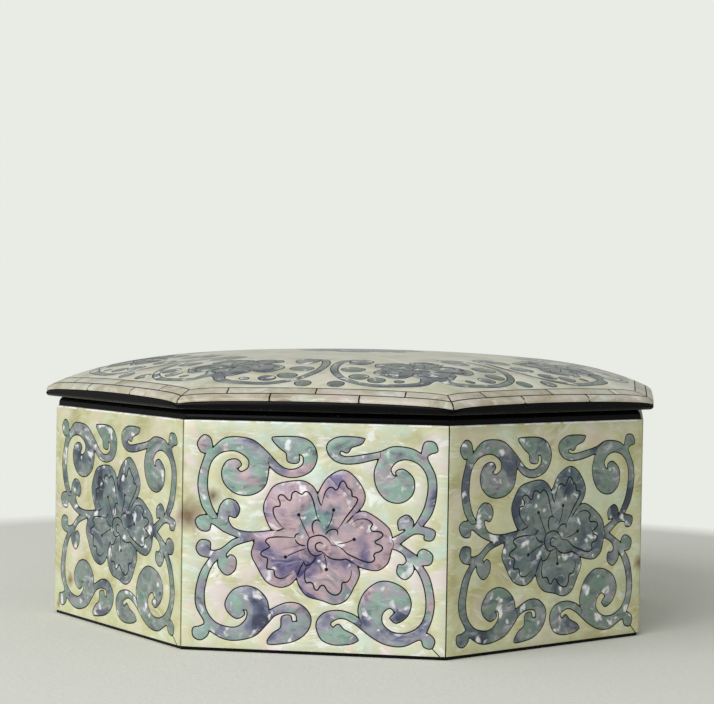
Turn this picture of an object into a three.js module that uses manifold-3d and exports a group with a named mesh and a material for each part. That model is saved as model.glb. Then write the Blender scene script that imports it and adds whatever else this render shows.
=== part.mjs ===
// Octagonal trinket box of black-lacquered wood, covered in shell veneer with abalone inlay,
// with a domed lid that lifts off. Millimetres, +Z up.
// Origin: the centre of the base board's underside, so the box stands on Z = 0. The front side faces -Y.
import * as THREE from "three";
import { mergeVertices } from "three/addons/utils/BufferGeometryUtils.js";
import Module from "manifold-3d";

const wasm = await Module();
wasm.setup();

// --- Driving dimensions ---------------------------------------------------------------------
const SIDES = 8;
const TURN = (2 * Math.PI) / SIDES; // angle from one side to the next
const MITRE = Math.tan(TURN / 2); // half a side's length for each millimetre of apothem

const SIDE_LENGTH = 46; // one face of the body, corner to corner
const BODY_APOTHEM = SIDE_LENGTH / 2 / MITRE; // axis to the outer face of the shell panels

const SHELL = 0.4; // thickness of every shell veneer
const GLUE = 0.1; // glue line between shell and wood
const KERF = 0.2; // saw cut round an inlay, filled with lacquer
const CORNER_LINE = 0.24; // lacquer line where two panels meet at a corner
const WOOD_JOINT = 0.06; // glue line in a mitre between two boards

const BASE_THICKNESS = 3;
const WALL_THICKNESS = 4.5;
const PANEL_BOTTOM = 0.6; // lacquered edge left bare below the shell
const PANEL_HEIGHT = 39.2;
const RIM_HEIGHT = 1.8; // lacquered rim left bare above the shell
const RIM_ROUND = 1.3; // radius on the rim's outer edge

const LID_OVERHANG = 1.8; // lid edge past the shell panels
const LID_BARE_EDGE = 0.5; // radius under the lid's edge
const DOME_TOP = 50.9; // height of the crown of the lid
const ROUND_DROP = 3.1; // fall of the crown that is round in plan, at the middle of a side
const OCTAGON_DROP = 3.7; // fall of the crown that follows the octagon, at the edge
const OCTAGON_POWER = 6; // how late the octagonal fall sets in
const CORNER_SOFTNESS = 48; // sharpness of the ridges that run to the corners
const EDGE_ROUND = 0.7; // width of the rounding on the shell at the lid's edge
const EDGE_ROUND_DROP = 0.25;

const OUTER_ROW = 1.3; // width of the border's outer row of shell
const INNER_ROW = 2.1; // width of its inner row
const LID_FLOWER_RADIUS = 43; // lid's axis to the centre of each corner flower
const LID_FLOWER_SCALE = 0.76; // against the flower on the sides
const ROSETTE_RADIUS = 12.5; // flower at the crown

const FRAME_CLEARANCE = 0.45; // between the lid's locating frame and the walls
const FRAME_WIDTH = 3.6;
const FRAME_DEPTH = 3.5;
const FRAME_CHAMFER = 0.8;

const MITRE_LIMIT = 2.5; // how far a sharp corner may run out when an outline grows, in distances

// --- Heights and apothems worked out from them ----------------------------------------------
const BOARD_APOTHEM = BODY_APOTHEM - SHELL - GLUE;
const INNER_APOTHEM = BOARD_APOTHEM - WALL_THICKNESS;
const PANEL_TOP = PANEL_BOTTOM + PANEL_HEIGHT;
const RIM_TOP = PANEL_TOP + RIM_HEIGHT;
const LID_APOTHEM = BODY_APOTHEM + LID_OVERHANG;
const OUTER_ROW_EDGE = LID_APOTHEM - OUTER_ROW;
const INNER_ROW_EDGE = OUTER_ROW_EDGE - INNER_ROW;
const FRAME_APOTHEM = INNER_APOTHEM - FRAME_CLEARANCE;

// --- Materials ------------------------------------------------------------------------------
const finish = (color, roughness, metalness = 0) =>
  new THREE.MeshStandardMaterial({ color, roughness, metalness });
const LACQUER = finish(0x0b0a0c, 0.18);
const PALE_SHELL = finish(0xd9d8b8, 0.25, 0.1);
const BORDER_SHELL = finish(0xcfc8b2, 0.25, 0.1);
const ABALONE = finish(0x7f86a3, 0.22, 0.25);

// --- Outlines -------------------------------------------------------------------------------
// The arabesque of a side panel is one closed outline, in millimetres from the panel's lower
// left corner, and these are its stretches in anticlockwise order. Each scroll is a vine with
// a curled leaf, a bulb and buds. It leaves the flower on one side and comes back to it.
const SCROLL_UPPER_LEFT = [
  [16.5, 20.5], [12, 20.1], [9.2, 20.6], [8.1, 22.6], [9.4, 22.7], [10, 24.2], [8.8, 25.6],
  [7.2, 25], [6.3, 22.4], [4.9, 25], [4.3, 28.5], [5.3, 32.6], [8, 34.1], [10.9, 33.5],
  [11.6, 31.2], [9.7, 30.5], [10.2, 31.8], [8.6, 32.4], [7, 30.3], [8.2, 27.6], [10.8, 26.6],
  [13.8, 27.6], [15.1, 31.8], [18, 30], [21, 30.1], [23.2, 32.7], [22.3, 35.6], [19.5, 36.6],
  [15.9, 36.2], [18.2, 33.8], [18.7, 32.4], [20.2, 33.9], [21.2, 32.4], [19.3, 31],
  [16.6, 31.9], [12.8, 35.5], [9.8, 36.3], [6.8, 35.8], [5.2, 34.2], [4.6, 36.2], [3, 36.1],
  [2.8, 34.3], [4.2, 33.6], [2.9, 28.6], [3.3, 25.2], [4.7, 22.8], [2.7, 22.2], [3, 20.6],
  [4.7, 20.3], [5.3, 21.5], [10.3, 19.1],
];
const SCROLL_LOWER_LEFT = [
  [9, 18.6], [6.9, 17], [5.1, 16.8], [4.7, 18.3], [3, 18.1], [3, 16.4], [5.2, 15.6],
  [3.1, 11.8], [2.8, 7.6], [4.3, 4.4], [2.4, 3.4], [2.7, 1.7], [4.3, 1.8], [5, 3.1], [8, 1.7],
  [11.8, 1.9], [15.1, 4.6], [17.2, 6.4], [20, 6.5], [20.5, 5], [19.1, 6], [17.7, 5.3],
  [15.4, 1.5], [19.8, 1.8], [22.5, 4.5], [21.9, 7.2], [18.9, 8.2], [15.4, 6.7], [14.3, 9.6],
  [11.3, 10.7], [8.6, 9.4], [8.2, 6.7], [10, 5.3], [10.8, 7], [11.7, 6], [10.2, 3.8],
  [7.4, 3.7], [4.6, 6], [4, 9.6], [5.2, 14], [6.5, 15.5], [6.9, 13.6], [8.4, 12.8],
  [9.6, 14.5], [8.9, 16], [7.9, 15.5], [8.5, 17.2], [12.8, 19],
];
const PETALS_BELOW = [
  [12.8, 18.2], [12.4, 16.2], [14, 13.6], [15.2, 11.8], [17.8, 11], [20.2, 12.8], [21.2, 10.4],
  [24, 9.2], [26.8, 8.4], [28.9, 9.5], [30.9, 13.4], [30.4, 15.2], [33.8, 14.4], [35.8, 15.9],
  [36.2, 17.4],
];
const SCROLL_LOWER_RIGHT = [
  [36.6, 18.2], [39, 16.8], [38.6, 15.3], [37.5, 14.8], [38.6, 13.1], [40.1, 14.5],
  [40, 15.9], [42, 12.6], [42.5, 8], [40.7, 4.4], [37.6, 3.6], [35, 5.3], [35.5, 7.8],
  [37.2, 7.6], [36.4, 6.3], [38.5, 6], [39.8, 8.6], [38.5, 11.3], [35.5, 12.4], [32.4, 10.9],
  [31, 8], [31.3, 5.7], [28.3, 7], [25.4, 6.8], [23.8, 4.6], [25.1, 2.1], [28, 1.5],
  [30.9, 2.2], [27.6, 4.8], [26.2, 4.2], [26.4, 5.6], [29.4, 5.7], [33.5, 2.9], [37.3, 1.6],
  [41.5, 2.9], [42.9, 1.4], [44, 2.5], [42.3, 3.6], [43.7, 8.6], [43, 12.9], [41.5, 15.5],
  [43.2, 16], [43, 17.6], [41.3, 17.9], [41, 16.7], [37.7, 18.9],
];
const SCROLL_UPPER_RIGHT = [
  [38.1, 19.3], [40.7, 21], [42, 19.9], [43.6, 20.2], [43.4, 21.7], [41.5, 22], [43.5, 25.6],
  [43.8, 29.6], [42.2, 33.6], [43.9, 34.8], [43, 36.5], [41.4, 35.7], [41.3, 34.2],
  [38.4, 35.2], [35.4, 34.9], [28.8, 33.4], [27.3, 34.3], [28.9, 34.3], [31.5, 36.7],
  [26.8, 36.6], [25.2, 34.8], [27.2, 32.6], [30.4, 32.5], [34.2, 33.5], [33.4, 30],
  [35.1, 26.8], [38.2, 26.1], [40.1, 28.9], [38.3, 31.5], [36.8, 30.3], [36.4, 32.4],
  [39, 33.4], [41.7, 31.9], [42.6, 28.3], [41.6, 24], [39.9, 21.6], [39.4, 23.6],
  [37.6, 22.9], [37.7, 21.4], [38.8, 21.1], [36.4, 19.7],
];
const PETALS_ABOVE = [
  [36.4, 20], [35.4, 21.9], [32.8, 23.9], [29.9, 23.7], [31.5, 25.9], [31.4, 27.9],
  [29.4, 30.5], [27.4, 30.9], [24.8, 29.3], [23.6, 26.8], [22, 28.7], [19, 28.7],
  [16.1, 28.1], [14.9, 25.6], [14.5, 23.1], [15.5, 21.2],
];

const vectors = (points) => points.map(([x, y]) => new THREE.Vector2(x, y));
const SIDE_INLAY = vectors([
  ...SCROLL_UPPER_LEFT,
  ...SCROLL_LOWER_LEFT,
  ...PETALS_BELOW,
  ...SCROLL_LOWER_RIGHT,
  ...SCROLL_UPPER_RIGHT,
  ...PETALS_ABOVE,
]);
const FLOWER = vectors([...PETALS_BELOW, ...PETALS_ABOVE]);
const FLOWER_CENTRE = new THREE.Vector2(24.5, 19.5);

// One vine of the lid, about the middle of a side: X along the side, Y the distance out from
// the lid's axis. It leaves the foot of the flower at the right-hand corner, runs beside the
// border, turns in at the middle of the side and ends in a leaf.
const LID_VINE = vectors([
  [18.7, 45.2], [17.8, 50], [13.2, 51.7], [8.5, 51.8], [4, 49.3], [1.4, 44], [1.1, 37.5],
  [2.3, 32.6], [4.3, 31.6],
]);
const LID_VINE_WIDTHS = [4, 1.8, 1.2, 1.2, 1.2, 1.2, 1.3, 1.4, 1.6];
const LID_LEAF = new THREE.EllipseCurve(4.9, 34.4, 2.1, 3.8).getPoints(9).slice(1);

// Round flower with one lobe for each side of the box.
function rosette(radius) {
  const points = 4 * SIDES;
  const notch = 0.2; // depth of the notch between two lobes, in radii
  return Array.from({ length: points }, (_, i) => {
    const angle = (i / points) * 2 * Math.PI;
    const lobe = Math.sqrt(Math.abs(Math.cos((SIDES * angle) / 2)));
    const r = radius * (1 - notch + notch * lobe);
    return new THREE.Vector2(r * Math.cos(angle), r * Math.sin(angle));
  });
}

// An anticlockwise outline with every edge moved outwards by a distance. A sharp corner keeps
// its point within MITRE_LIMIT times that distance.
function grown(outline, distance) {
  const outward = outline.map((point, i) => {
    const along = outline[(i + 1) % outline.length].clone().sub(point).normalize();
    return new THREE.Vector2(along.y, -along.x);
  });
  return outline.map((point, i) => {
    const sum = outward.at(i - 1).clone().add(outward[i]);
    const stretch = Math.min(2 / sum.lengthSq(), MITRE_LIMIT / sum.length());
    return sum.multiplyScalar(distance * stretch).add(point);
  });
}

// The outline of a band along a smooth line, with its width given at each of the line's points.
function band(points, widths, extra = 0) {
  const steps = 2 * (points.length - 1);
  const line = new THREE.SplineCurve(points);
  const left = [];
  const right = [];
  for (let i = 0; i <= steps; i++) {
    const t = i / steps;
    const near = Math.floor(i / 2);
    const far = Math.min(near + (i % 2), widths.length - 1);
    const half = (widths[near] + widths[far]) / 4 + extra;
    const along = line.getTangent(t);
    const out = new THREE.Vector2(-along.y, along.x).multiplyScalar(half);
    left.push(line.getPoint(t).add(out));
    right.push(line.getPoint(t).sub(out));
  }
  return [...right, ...left.reverse()];
}

// --- Solids ---------------------------------------------------------------------------------
function prism(outline, depth, holes = []) {
  const shape = new THREE.Shape(outline);
  shape.holes = holes.map((hole) => new THREE.Path(hole));
  return new THREE.ExtrudeGeometry(shape, { depth, bevelEnabled: false, curveSegments: 1 });
}

// Moves every vertex of a geometry by place(x, y, z) -> [x, y, z].
function bent(geometry, place) {
  const p = geometry.attributes.position;
  for (let i = 0; i < p.count; i++) {
    p.setXYZ(i, ...place(p.getX(i), p.getY(i), p.getZ(i)));
  }
  geometry.computeVertexNormals();
  return geometry;
}

function toSolid(geometry) {
  const bare = new THREE.BufferGeometry();
  bare.setAttribute("position", geometry.attributes.position);
  bare.setIndex(geometry.index);
  const merged = mergeVertices(bare, 1e-4);
  return new wasm.Manifold(
    new wasm.Mesh({
      numProp: 3,
      vertProperties: merged.attributes.position.array,
      triVerts: new Uint32Array(merged.index.array),
    }),
  );
}

function toGeometry(solid) {
  const mesh = solid.getMesh();
  const geometry = new THREE.BufferGeometry();
  geometry.setAttribute("position", new THREE.BufferAttribute(mesh.vertProperties, 3));
  geometry.setIndex(new THREE.BufferAttribute(mesh.triVerts, 1));
  geometry.computeVertexNormals();
  return geometry;
}

// A strip along the front side from a profile of [apothem, height] points, its ends on the
// mitres, with half of the joint's width taken off each end.
function mitredStrip(profile, joint) {
  const section = profile.map(([r, z]) => new THREE.Vector2(r, z));
  return bent(prism(section, 1), (r, z, t) => [(1 - 2 * t) * (r * MITRE - joint / 2), -r, z]);
}

// A flat panel of shell on the front side, from an outline measured from its lower left corner.
function sidePanel(outline, holes = []) {
  const half = SIDE_LENGTH / 2;
  return bent(prism(outline, SHELL, holes), (u, v, depth) => {
    const r = BODY_APOTHEM - SHELL + depth;
    const x = u - half;
    const atMitre = Math.abs(x) > half - 0.001;
    const across = atMitre ? Math.sign(x) * (r * MITRE - CORNER_LINE / 2) : x;
    return [across, -r, PANEL_BOTTOM + v];
  });
}

// Height of the lid's crown over a point of the plan.
function dome(x, y) {
  const round = Math.hypot(x, y) / LID_APOTHEM;
  let sum = 0;
  for (let k = 0; k < SIDES; k++) {
    const reach = (x * Math.cos(k * TURN) + y * Math.sin(k * TURN)) / LID_APOTHEM;
    sum += Math.max(0, reach) ** CORNER_SOFTNESS;
  }
  const octagonal = sum ** (1 / CORNER_SOFTNESS);
  return DOME_TOP - ROUND_DROP * round ** 2 - OCTAGON_DROP * octagonal ** OCTAGON_POWER;
}

// Fall of the shell's surface where it rounds over the lid's edge, at an apothem.
function edgeFall(apothem) {
  const share = Math.max(0, (apothem - LID_APOTHEM + EDGE_ROUND) / EDGE_ROUND);
  return EDGE_ROUND_DROP * share ** 2;
}

// A closed slab over a grid of plan points: plan(row, column) -> [x, y], with its top and
// bottom heights given over each point. A closed grid comes round to its own first column.
function slab(rows, columns, closed, plan, top, bottom) {
  const positions = [];
  const faces = [];
  for (let i = 0; i <= rows; i++) {
    for (let j = 0; j <= columns; j++) {
      const [x, y] = plan(i, j);
      positions.push(x, y, top(x, y, i), x, y, bottom(x, y, i));
    }
  }
  const upper = (i, j) => 2 * (i * (columns + 1) + j);
  const lower = (i, j) => upper(i, j) + 1;
  const quad = (a, b, c, d) => faces.push(a, b, c, a, c, d);
  for (let i = 0; i < rows; i++) {
    for (let j = 0; j < columns; j++) {
      quad(upper(i, j), upper(i + 1, j), upper(i + 1, j + 1), upper(i, j + 1));
      quad(lower(i, j), lower(i, j + 1), lower(i + 1, j + 1), lower(i + 1, j));
    }
    if (!closed) {
      quad(upper(i, 0), lower(i, 0), lower(i + 1, 0), upper(i + 1, 0));
      quad(upper(i + 1, columns), lower(i + 1, columns), lower(i, columns), upper(i, columns));
    }
  }
  for (let j = 0; j < columns; j++) {
    quad(upper(rows, j), lower(rows, j), lower(rows, j + 1), upper(rows, j + 1));
    if (!closed) quad(upper(0, j + 1), lower(0, j + 1), lower(0, j), upper(0, j));
  }
  const geometry = new THREE.BufferGeometry();
  geometry.setAttribute("position", new THREE.Float32BufferAttribute(positions, 3));
  geometry.setIndex(faces);
  return withoutSlivers(mergeVertices(geometry, 1e-4));
}

// Drops the triangles that collapsed where grid points meet.
function withoutSlivers(geometry) {
  const kept = [];
  const index = geometry.index.array;
  for (let i = 0; i < index.length; i += 3) {
    const [a, b, c] = index.slice(i, i + 3);
    if (a !== b && b !== c && c !== a) kept.push(a, b, c);
  }
  geometry.setIndex(kept);
  geometry.computeVertexNormals();
  return geometry;
}

// A slab over the whole octagon, on rings of the apothems given, the first of them zero.
function octagonSlab(apothems, stepsPerSide, top, bottom) {
  const columns = SIDES * stepsPerSide;
  const plan = (i, j) => {
    const side = Math.floor((j % columns) / stepsPerSide);
    const along = ((j % stepsPerSide) / stepsPerSide) * 2 - 1;
    const point = new THREE.Vector2(along * apothems[i] * MITRE, -apothems[i]);
    return point.rotateAround(new THREE.Vector2(), side * TURN).toArray();
  };
  return slab(apothems.length - 1, columns, true, plan, top, bottom);
}

// A slab along the front side of the lid, between the first and last apothem.
function borderSlab(apothems, steps, joint, top, bottom) {
  const plan = (i, j) => {
    const half = apothems[i] * MITRE - joint / 2;
    return [((2 * j) / steps - 1) * half, -apothems[i]];
  };
  return slab(apothems.length - 1, steps, false, plan, top, bottom);
}

// --- Body -----------------------------------------------------------------------------------
function baseBoard() {
  const corner = BOARD_APOTHEM / Math.cos(TURN / 2);
  const outline = Array.from({ length: SIDES }, (_, k) => {
    const angle = (k + 0.5) * TURN;
    return new THREE.Vector2(corner * Math.cos(angle), corner * Math.sin(angle));
  });
  return prism(outline, BASE_THICKNESS);
}

function wallBoard() {
  const arcSteps = 5;
  const profile = [
    [INNER_APOTHEM, RIM_TOP],
    [INNER_APOTHEM, BASE_THICKNESS],
    [BOARD_APOTHEM, BASE_THICKNESS],
  ];
  for (let i = 0; i <= arcSteps; i++) {
    const angle = ((i / arcSteps) * Math.PI) / 2;
    profile.push([
      BOARD_APOTHEM - RIM_ROUND * (1 - Math.cos(angle)),
      RIM_TOP - RIM_ROUND * (1 - Math.sin(angle)),
    ]);
  }
  return mitredStrip(profile, WOOD_JOINT);
}

function sideGround() {
  const corners = [[0, 0], [SIDE_LENGTH, 0], [SIDE_LENGTH, PANEL_HEIGHT], [0, PANEL_HEIGHT]];
  return sidePanel(vectors(corners), [grown(SIDE_INLAY, KERF / 2)]);
}

// --- Lid ------------------------------------------------------------------------------------
function lidBoard() {
  const rings = [0, 16, 32, 45, LID_APOTHEM - LID_BARE_EDGE, LID_APOTHEM];
  const top = (x, y) => dome(x, y) - SHELL - GLUE;
  const bottom = (x, y, ring) => RIM_TOP + (ring === rings.length - 1 ? LID_BARE_EDGE : 0);
  return octagonSlab(rings, 2, top, bottom);
}

function frameStrip() {
  const inner = FRAME_APOTHEM - FRAME_WIDTH;
  const low = RIM_TOP - FRAME_DEPTH;
  const top = RIM_TOP - GLUE;
  const profile = [
    [inner, top],
    [inner, low],
    [FRAME_APOTHEM - FRAME_CHAMFER, low],
    [FRAME_APOTHEM, low + FRAME_CHAMFER],
    [FRAME_APOTHEM, top],
  ];
  return mitredStrip(profile, WOOD_JOINT);
}

const shellTop = (x, y) => dome(x, y);
const shellBottom = (x, y) => dome(x, y) - SHELL;

function outerRow() {
  const rings = [OUTER_ROW_EDGE + KERF / 2, LID_APOTHEM - EDGE_ROUND, LID_APOTHEM - EDGE_ROUND / 3];
  rings.push(LID_APOTHEM);
  const top = (x, y, ring) => dome(x, y) - edgeFall(rings[ring]);
  return borderSlab(rings, 2, CORNER_LINE, top, shellBottom);
}

function innerRow() {
  const rings = [INNER_ROW_EDGE + KERF / 2, OUTER_ROW_EDGE - KERF / 2];
  return borderSlab(rings, 2, CORNER_LINE, shellTop, shellBottom);
}

// A prism through the lid's shell with the plan outline given.
function throughLid(outline) {
  const geometry = prism(outline, DOME_TOP - RIM_TOP + 1);
  return toSolid(geometry).translate([0, 0, RIM_TOP]);
}

// The flower at the right-hand end of the front side and the two vines that leave its foot,
// cut through the lid's shell and grown by a distance all round.
function cornerCutter(distance) {
  const turn = THREE.MathUtils.radToDeg(TURN);
  const flower = FLOWER.map((point) => {
    const p = point.clone().sub(FLOWER_CENTRE).multiplyScalar(LID_FLOWER_SCALE);
    return new THREE.Vector2(p.x, p.y - LID_FLOWER_RADIUS);
  });
  const onPlan = (outline) => outline.map((p) => new THREE.Vector2(p.x, -p.y)).reverse();
  const onNextSide = (outline) => outline.map((p) => new THREE.Vector2(-p.x, -p.y));
  const vine = band(LID_VINE, LID_VINE_WIDTHS, distance);
  const leaf = grown(LID_LEAF, distance);
  return throughLid(grown(flower, distance))
    .rotate([0, 0, turn / 2])
    .add(throughLid(onPlan(vine)))
    .add(throughLid(onPlan(leaf)))
    .add(throughLid(onNextSide(vine)).rotate([0, 0, turn]))
    .add(throughLid(onNextSide(leaf)).rotate([0, 0, turn]));
}

const rosetteCutter = (distance) => throughLid(grown(rosette(ROSETTE_RADIUS), distance));

function lidSkin() {
  const rings = [0, 18, 33, 44, INNER_ROW_EDGE - KERF / 2];
  return toSolid(octagonSlab(rings, 2, shellTop, shellBottom));
}

function lidGround() {
  let ground = lidSkin().subtract(rosetteCutter(KERF / 2));
  const corner = cornerCutter(KERF / 2);
  for (let k = 0; k < SIDES; k++) {
    ground = ground.subtract(corner.rotate([0, 0, THREE.MathUtils.radToDeg(k * TURN)]));
  }
  return toGeometry(ground);
}

const lidInlay = (cutter) => toGeometry(lidSkin().intersect(cutter));

// --- Assembly -------------------------------------------------------------------------------
const box = new THREE.Group();

function add(name, geometry, material, side = 0) {
  const mesh = new THREE.Mesh(geometry, material);
  mesh.name = name;
  mesh.rotation.z = side * TURN;
  box.add(mesh);
}

// One copy for each side, numbered anticlockwise from the front as seen from above.
function addRound(name, geometry, material) {
  for (let side = 0; side < SIDES; side++) {
    add(`${name}_${side + 1}`, geometry, material, side);
  }
}

add("base_board", baseBoard(), LACQUER);
addRound("wall_board", wallBoard(), LACQUER);
addRound("side_ground", sideGround(), PALE_SHELL);
addRound("side_inlay", sidePanel(grown(SIDE_INLAY, -KERF / 2)), ABALONE);

add("lid_board", lidBoard(), LACQUER);
addRound("lid_frame_strip", frameStrip(), LACQUER);
addRound("lid_border_outer", outerRow(), BORDER_SHELL);
addRound("lid_border_inner", innerRow(), BORDER_SHELL);
add("lid_ground", lidGround(), PALE_SHELL);
addRound("lid_inlay", lidInlay(cornerCutter(-KERF / 2)), ABALONE);
add("lid_rosette", lidInlay(rosetteCutter(-KERF / 2)), ABALONE);

export default box;
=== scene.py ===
"""Octagonal trinket box: black lacquered wood, mother-of-pearl veneer and abalone inlay.

The wooden boards are the CAD nodes. The shell pieces are finer copies of the CAD ones, with
smooth outlines, bevelled edges, engraved lines and lacquer in the saw cuts. Lengths are
millimetres until a mesh is made, and the scales of textures are per metre.
"""

import math

import bpy
import numpy as np
from mathutils import Matrix, Vector, geometry, noise


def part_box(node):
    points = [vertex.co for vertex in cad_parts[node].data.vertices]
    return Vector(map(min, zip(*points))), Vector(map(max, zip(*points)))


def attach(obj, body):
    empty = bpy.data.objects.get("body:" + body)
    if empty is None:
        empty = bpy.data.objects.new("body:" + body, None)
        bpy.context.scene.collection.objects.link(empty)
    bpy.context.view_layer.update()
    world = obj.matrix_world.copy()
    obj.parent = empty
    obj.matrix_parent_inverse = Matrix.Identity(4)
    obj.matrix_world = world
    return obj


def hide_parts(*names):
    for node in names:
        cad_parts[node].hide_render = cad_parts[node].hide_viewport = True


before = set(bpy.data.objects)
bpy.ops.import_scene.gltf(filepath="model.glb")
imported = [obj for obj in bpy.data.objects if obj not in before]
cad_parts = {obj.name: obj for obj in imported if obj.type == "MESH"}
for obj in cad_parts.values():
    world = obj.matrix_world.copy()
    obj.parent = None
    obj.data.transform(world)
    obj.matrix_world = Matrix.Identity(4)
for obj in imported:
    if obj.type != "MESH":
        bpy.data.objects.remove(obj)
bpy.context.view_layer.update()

# --- Dimensions read from the frame ---
MM = 0.001
SIDES = 8
TURN = 2 * math.pi / SIDES
MITRE = math.tan(TURN / 2)

panel_low, panel_high = (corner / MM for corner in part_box("side_ground_1"))
board_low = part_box("lid_board")[0] / MM
rosette_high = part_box("lid_rosette")[1] / MM

BODY_APOTHEM = -panel_low.y
SIDE_LENGTH = 2 * BODY_APOTHEM * MITRE
PANEL_BOTTOM = panel_low.z
PANEL_HEIGHT = panel_high.z - panel_low.z
SHELL = panel_high.y - panel_low.y
RIM_TOP = board_low.z
LID_APOTHEM = -board_low.y
DOME_TOP = rosette_high.z

# --- Dimensions of the finer pieces ---
KERF = 0.2  # saw cut round an inlay
CORNER_LINE = 0.26  # lacquer line where two panels meet
TILE_LINE = 0.22  # lacquer line between two tiles of the border
CUT_BEVEL = 0.04  # softened edge along a saw cut
PANEL_BEVEL = 0.16  # softened edge round a whole panel
LACQUER_SINK = 0.05  # lacquer's surface below the shell's
ENGRAVED_WIDTH = 0.25
STAMEN_WIDTH = 0.7 * ENGRAVED_WIDTH
JOINT_WIDTH = 0.12  # butt joint between two bits of abalone
SAW_ENTRY_WIDTH = 0.18
LINE_PROUD = 0.012  # crown of an engraved line above the shell
LINE_DEPTH = 0.06
BORDER_LINE_DEPTH = 0.3
TILE_BEVEL = 0.05  # softened edge round a tile
EDGE_TILE_BEVEL = 0.1  # the same along the lid's edge
BOARD_ARRIS = 0.35  # rounding of the lid board's upper edge
BOARD_ROUND = 0.7  # rounding of its lower edge
BOARD_GAP = 0.1  # between the lid board and the shell on it
WOOD_ARRIS = 0.2  # rounding of the other boards' edges
HAIR = 0.01  # keeps two surfaces from sharing a plane
OUTLINE_STEP = 0.22  # spacing of points along a smooth outline
LID_OUTLINE_STEP = 0.3
DOME_SPACING = 2.2  # spacing of points across a piece that follows the dome
WANDER = 0.3  # how far the drawing of one side strays from another's
WANDER_LENGTH = 9  # and over what distance

# The dome of the lid, as in the CAD.
ROUND_DROP = 3.1
OCTAGON_DROP = 3.7
OCTAGON_POWER = 6
CORNER_SOFTNESS = 48
OUTER_ROW = 1.3
INNER_ROW = 2.1
EDGE_ROUND = 0.7
EDGE_ROUND_DROP = 0.25

# --- Drawing of a side panel ---
# Millimetres from the panel's lower left corner. Stretches of one closed outline, in
# anticlockwise order. Each scroll is a vine with a curled leaf, a bulb and buds.
SCROLL_UPPER_LEFT = [
    (16.5, 20.5), (12, 20.05), (9.2, 20.6), (8.1, 22), (8.3, 22.95), (9.4, 22.7), (10, 24),
    (9.3, 25.3), (7.9, 25.6), (6.8, 24.5), (6.3, 22.4), (5, 24.8), (4.3, 28), (4.8, 31.7),
    (6.6, 33.7), (9.3, 34.1), (11.5, 32.8), (11.6, 31.2), (10.3, 30.35), (9.4, 31), (10.2, 31.7),
    (9.4, 32.5), (7.8, 32.1), (7, 30.3), (7.6, 28.3), (9.5, 26.8), (12.2, 26.7), (14.4, 28.3),
    (15.1, 31.8), (17, 30.3), (19.5, 29.85), (22.2, 30.9), (23.3, 33.2), (22.6, 35.4),
    (20.5, 36.5), (16.2, 36.5), (15.8, 36.1), (17, 34.8), (18.15, 33.9), (18.5, 32.5),
    (20.1, 32.4), (20.2, 33.9), (21.1, 33.4), (21, 31.9), (19.3, 31), (17.2, 31.5), (14.5, 34.1),
    (12.3, 35.8), (9.8, 36.3), (7.3, 36), (5.2, 34.2), (4.8, 36), (3.7, 36.5), (2.7, 35.2),
    (3.3, 33.8), (4.2, 33.6), (3.2, 30.5), (2.9, 28), (3.5, 24.8), (4.7, 22.8), (3.2, 22.6),
    (2.5, 21.7), (3.3, 20.4), (4.7, 20.3), (5.3, 21.5), (7.5, 20.2), (10.3, 19.1),
]
SCROLL_LOWER_LEFT = [
    (9, 18.6), (6.9, 17), (5.1, 16.75), (4.9, 18.2), (3.4, 18.4), (2.7, 17.2), (3.4, 16),
    (5.2, 15.6), (3.5, 12.9), (2.7, 9.5), (2.9, 7), (4.3, 4.4), (3.5, 3.6), (2.3, 3.2),
    (2.4, 1.9), (3.5, 1.4), (4.6, 2.1), (5, 3.15), (7.5, 1.8), (10, 1.6), (13, 2.5), (15.1, 4.6),
    (16.4, 6), (18.2, 6.65), (20.1, 6.4), (20.5, 5), (19.5, 5), (19.1, 6), (17.8, 5.7),
    (17.6, 3.9), (16.2, 2.8), (15.35, 1.5), (16, 1.1), (19.8, 1.8), (22.1, 3.6), (22.6, 6),
    (20.9, 7.9), (18.4, 8.1), (15.4, 6.7), (14.9, 8.7), (13.3, 10.3), (11.3, 10.75), (9.2, 10),
    (7.95, 8), (8.3, 6.5), (9.8, 5.35), (11.1, 6), (10.7, 6.9), (11.7, 6.7), (11.6, 5.2),
    (10.2, 3.8), (8.3, 3.6), (6, 4.4), (4.4, 6.5), (4, 9.5), (4.6, 12.5), (5.4, 14.3),
    (6.5, 15.5), (6.7, 14), (8, 12.75), (9.3, 13.6), (9.5, 15.3), (8.7, 16), (8, 15.4),
    (7.8, 16.3), (9.5, 17.9), (12.8, 19),
]
PETALS_BELOW = [
    (12.8, 18.2), (12.4, 16.4), (13.3, 14.5), (15, 11.9), (17.2, 11), (19, 11.5), (20.2, 12.8),
    (20.9, 11), (22.2, 9.6), (24.6, 9), (26.8, 8.4), (28.7, 9.2), (30, 11.4), (30.9, 13.6),
    (30.4, 15.2), (32.2, 14.6), (34.2, 14.5), (35.7, 15.7), (36.2, 17.4),
]
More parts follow.
